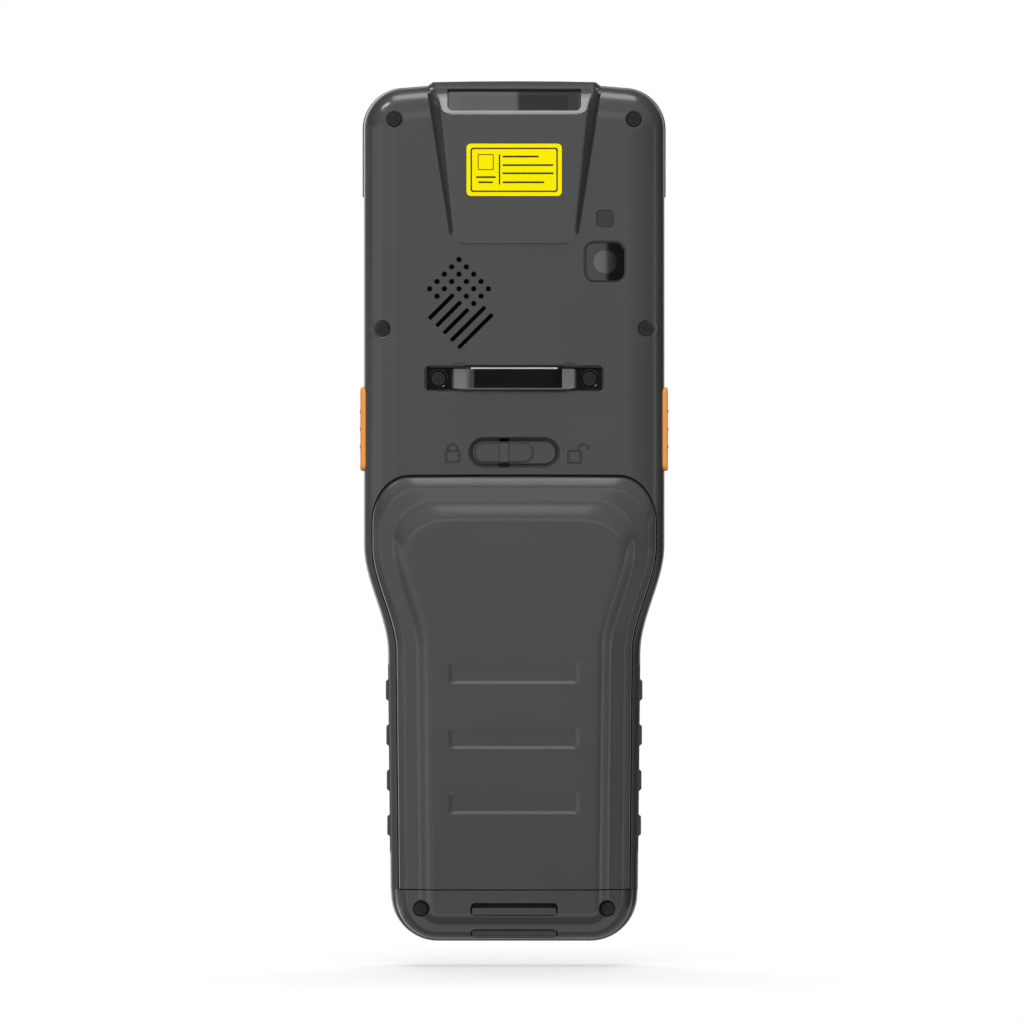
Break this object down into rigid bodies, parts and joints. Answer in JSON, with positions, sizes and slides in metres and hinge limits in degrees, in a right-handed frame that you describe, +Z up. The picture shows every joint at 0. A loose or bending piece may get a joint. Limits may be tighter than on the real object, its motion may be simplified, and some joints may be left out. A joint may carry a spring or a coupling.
{
  "type": "portable barcode data terminal",
  "caption": "Rugged handheld data terminal with a keypad, a display, a scanner window at the top of its back, a tilt-out battery with a slide lock, side triggers and a hand-strap bracket.",
  "frame": {"origin": "middle of the foot, at the centre of the box around the whole terminal", "axes": "+Z up from the foot to the scanner end, -Y out of the display, +Y out of the back, +X to the right as the display faces the viewer"},
  "size_m": [0.072, 0.0278, 0.2],
  "materials": {
    "housing_plastic": "fine moulded grain",
    "black_plastic": "matt",
    "gloss_black": "satin gloss",
    "grip_rubber": "soft matt",
    "seal_rubber": "matt",
    "trigger_orange": "satin moulded",
    "key_orange": "satin moulded",
    "key_grey": "satin moulded",
    "key_black": "satin moulded",
    "window_glass": "polished",
    "frosted_lens": "frosted",
    "display_panel": "dark panel",
    "frame_metal": "die-cast",
    "spring_steel": "brushed",
    "black_steel": "blackened",
    "brass": "knurled",
    "gold_contact": "gold plated",
    "circuit_board": "solder mask",
    "battery_case": "matt",
    "label_yellow": "printed film"
  },
  "bodies": {
    "case": {"front_housing": "housing_plastic", "rear_housing": "housing_plastic", "top_bumper": "grip_rubber", "housing_seal": "seal_rubber", "display_window": "window_glass", "display_module": "display_panel", "mid_frame": "frame_metal", "main_board": "circuit_board", "keypad_board": "circuit_board", "key_domes": "spring_steel", "keypad_seal": "seal_rubber", "scan_window": "window_glass", "scan_engine": "black_plastic", "camera_window": "window_glass", "camera_module": "black_plastic", "flash_lens": "frosted_lens", "speaker": "black_plastic", "strap_bracket": "gloss_black", "strap_screws": "black_steel", "housing_screws": "black_steel", "threaded_inserts": "brass", "battery_connector": "gold_contact", "left_grip": "grip_rubber", "right_grip": "grip_rubber", "trigger_switches": "spring_steel", "asset_label": "label_yellow", "usb_socket": "spring_steel", "status_lens": "frosted_lens"},
    "port_door": {"port_cover": "seal_rubber"},
    "lock": {"lock_slider": "housing_plastic", "lock_tongue": "spring_steel"},
    "battery": {"battery_cover": "housing_plastic", "battery_pack": "battery_case", "battery_seal": "seal_rubber"},
    "left_trigger_body": {"left_trigger": "trigger_orange"},
    "right_trigger_body": {"right_trigger": "trigger_orange"},
    "key_soft_left_body": {"key_soft_left": "key_grey"},
    "key_scan_body": {"key_scan": "key_orange"},
    "key_soft_right_body": {"key_soft_right": "key_grey"},
    "key_back_body": {"key_back": "key_grey"},
    "key_up_body": {"key_up": "key_grey"},
    "key_power_body": {"key_power": "key_grey"},
    "key_left_body": {"key_left": "key_grey"},
    "key_ok_body": {"key_ok": "key_grey"},
    "key_right_body": {"key_right": "key_grey"},
    "key_fn_body": {"key_fn": "key_grey"},
    "key_down_body": {"key_down": "key_grey"},
    "key_delete_body": {"key_delete": "key_grey"},
    "key_1_body": {"key_1": "key_black"},
    "key_2_body": {"key_2": "key_black"},
    "key_3_body": {"key_3": "key_black"},
    "key_4_body": {"key_4": "key_black"},
    "key_5_body": {"key_5": "key_black"},
    "key_6_body": {"key_6": "key_black"},
    "key_7_body": {"key_7": "key_black"},
    "key_8_body": {"key_8": "key_black"},
    "key_9_body": {"key_9": "key_black"},
    "key_star_body": {"key_star": "key_black"},
    "key_0_body": {"key_0": "key_black"},
    "key_hash_body": {"key_hash": "key_black"}
  },
  "joints": [
    {"name": "battery_tilt", "type": "hinge", "parent": "case", "child": "battery", "pos_m": [0, 0.01395, 0.0123], "axis": [-1, 0, 0], "range_deg": [0, 60]},
    {"name": "lock_slide", "type": "slide", "parent": "case", "child": "lock", "axis": [-1, 0, 0], "range_m": [0, 0.0047]},
    {"name": "left_trigger_press", "type": "slide", "parent": "case", "child": "left_trigger_body", "axis": [1, 0, 0], "range_m": [0, 0.0005], "stiffness_N_per_m": 1600},
    {"name": "right_trigger_press", "type": "slide", "parent": "case", "child": "right_trigger_body", "axis": [-1, 0, 0], "range_m": [0, 0.0005], "stiffness_N_per_m": 1600},
    {"name": "port_door_swing", "type": "hinge", "parent": "case", "child": "port_door", "pos_m": [0, -0.01085, 0], "axis": [-1, 0, 0], "range_deg": [0, 100]},
    {"name": "key_soft_left_press", "type": "slide", "parent": "case", "child": "key_soft_left_body", "axis": [0, 1, 0], "range_m": [0, 0.0004], "stiffness_N_per_m": 800},
    {"name": "key_scan_press", "type": "slide", "parent": "case", "child": "key_scan_body", "axis": [0, 1, 0], "range_m": [0, 0.0004], "stiffness_N_per_m": 800},
    {"name": "key_soft_right_press", "type": "slide", "parent": "case", "child": "key_soft_right_body", "axis": [0, 1, 0], "range_m": [0, 0.0004], "stiffness_N_per_m": 800},
    {"name": "key_back_press", "type": "slide", "parent": "case", "child": "key_back_body", "axis": [0, 1, 0], "range_m": [0, 0.0004], "stiffness_N_per_m": 800},
    {"name": "key_up_press", "type": "slide", "parent": "case", "child": "key_up_body", "axis": [0, 1, 0], "range_m": [0, 0.0004], "stiffness_N_per_m": 800},
    {"name": "key_power_press", "type": "slide", "parent": "case", "child": "key_power_body", "axis": [0, 1, 0], "range_m": [0, 0.0004], "stiffness_N_per_m": 800},
    {"name": "key_left_press", "type": "slide", "parent": "case", "child": "key_left_body", "axis": [0, 1, 0], "range_m": [0, 0.0004], "stiffness_N_per_m": 800},
    {"name": "key_ok_press", "type": "slide", "parent": "case", "child": "key_ok_body", "axis": [0, 1, 0], "range_m": [0, 0.0004], "stiffness_N_per_m": 800},
    {"name": "key_right_press", "type": "slide", "parent": "case", "child": "key_right_body", "axis": [0, 1, 0], "range_m": [0, 0.0004], "stiffness_N_per_m": 800},
    {"name": "key_fn_press", "type": "slide", "parent": "case", "child": "key_fn_body", "axis": [0, 1, 0], "range_m": [0, 0.0004], "stiffness_N_per_m": 800},
    {"name": "key_down_press", "type": "slide", "parent": "case", "child": "key_down_body", "axis": [0, 1, 0], "range_m": [0, 0.0004], "stiffness_N_per_m": 800},
    {"name": "key_delete_press", "type": "slide", "parent": "case", "child": "key_delete_body", "axis": [0, 1, 0], "range_m": [0, 0.0004], "stiffness_N_per_m": 800},
    {"name": "key_1_press", "type": "slide", "parent": "case", "child": "key_1_body", "axis": [0, 1, 0], "range_m": [0, 0.0004], "stiffness_N_per_m": 800},
    {"name": "key_2_press", "type": "slide", "parent": "case", "child": "key_2_body", "axis": [0, 1, 0], "range_m": [0, 0.0004], "stiffness_N_per_m": 800},
    {"name": "key_3_press", "type": "slide", "parent": "case", "child": "key_3_body", "axis": [0, 1, 0], "range_m": [0, 0.0004], "stiffness_N_per_m": 800},
    {"name": "key_4_press", "type": "slide", "parent": "case", "child": "key_4_body", "axis": [0, 1, 0], "range_m": [0, 0.0004], "stiffness_N_per_m": 800},
    {"name": "key_5_press", "type": "slide", "parent": "case", "child": "key_5_body", "axis": [0, 1, 0], "range_m": [0, 0.0004], "stiffness_N_per_m": 800},
    {"name": "key_6_press", "type": "slide", "parent": "case", "child": "key_6_body", "axis": [0, 1, 0], "range_m": [0, 0.0004], "stiffness_N_per_m": 800},
    {"name": "key_7_press", "type": "slide", "parent": "case", "child": "key_7_body", "axis": [0, 1, 0], "range_m": [0, 0.0004], "stiffness_N_per_m": 800},
    {"name": "key_8_press", "type": "slide", "parent": "case", "child": "key_8_body", "axis": [0, 1, 0], "range_m": [0, 0.0004], "stiffness_N_per_m": 800},
    {"name": "key_9_press", "type": "slide", "parent": "case", "child": "key_9_body", "axis": [0, 1, 0], "range_m": [0, 0.0004], "stiffness_N_per_m": 800},
    {"name": "key_star_press", "type": "slide", "parent": "case", "child": "key_star_body", "axis": [0, 1, 0], "range_m": [0, 0.0004], "stiffness_N_per_m": 800},
    {"name": "key_0_press", "type": "slide", "parent": "case", "child": "key_0_body", "axis": [0, 1, 0], "range_m": [0, 0.0004], "stiffness_N_per_m": 800},
    {"name": "key_hash_press", "type": "slide", "parent": "case", "child": "key_hash_body", "axis": [0, 1, 0], "range_m": [0, 0.0004], "stiffness_N_per_m": 800}
  ]
}
